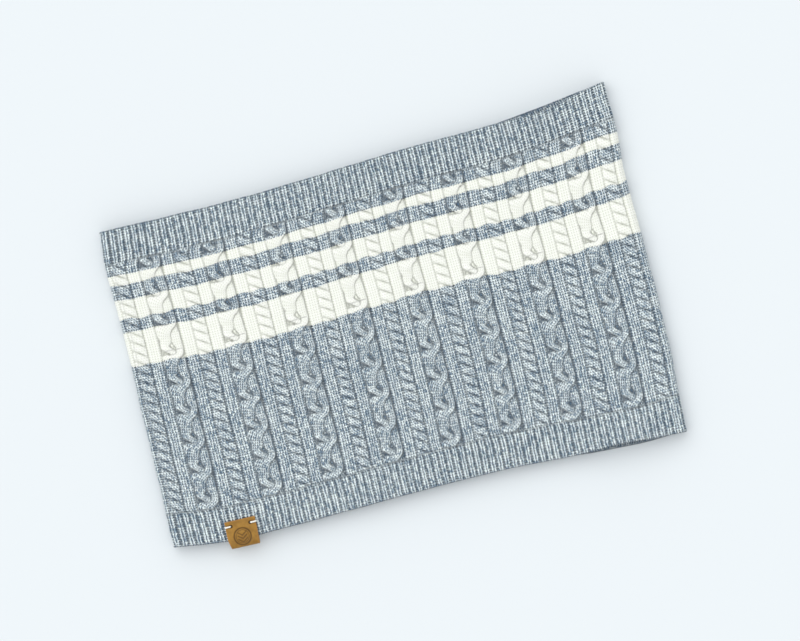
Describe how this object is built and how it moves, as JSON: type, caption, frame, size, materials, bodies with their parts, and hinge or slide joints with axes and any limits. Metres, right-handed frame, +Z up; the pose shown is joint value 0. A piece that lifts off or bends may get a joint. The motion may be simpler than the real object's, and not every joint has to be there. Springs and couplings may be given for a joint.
{
  "type": "neck gaiter",
  "caption": "Knitted tube worn round the neck in the cold, laid flat, with cabled body, contrast stripes, ribbed hems and a folded leather tag.",
  "frame": {"origin": "centre of the flat-laid gaiter's outline, on the surface it lies on", "axes": "+X along the flat width, with the tag near the -X end; +Y along the tube, from the tagged hem to the striped hem; +Z up from the surface, through both layers"},
  "size_m": [0.2704, 0.1841, 0.0144],
  "materials": {
    "grey_yarn": "fuzzy marled knit",
    "cream_yarn": "fuzzy knit",
    "tag_leather": "fine grained, satin",
    "tag_thread": "smooth twisted thread"
  },
  "bodies": {
    "root": {"lower_rib_hem": "grey_yarn", "cable_body": "grey_yarn", "wide_cream_stripe": "cream_yarn", "lower_grey_stripe": "grey_yarn", "middle_cream_stripe": "cream_yarn", "upper_grey_stripe": "grey_yarn", "narrow_cream_stripe": "cream_yarn", "upper_cable_band": "grey_yarn", "upper_rib_hem": "grey_yarn", "seam_linking_yarn": "grey_yarn", "leather_tag": "tag_leather", "tag_stitch_left": "tag_thread", "tag_stitch_right": "tag_thread"}
  },
  "joints": []
}
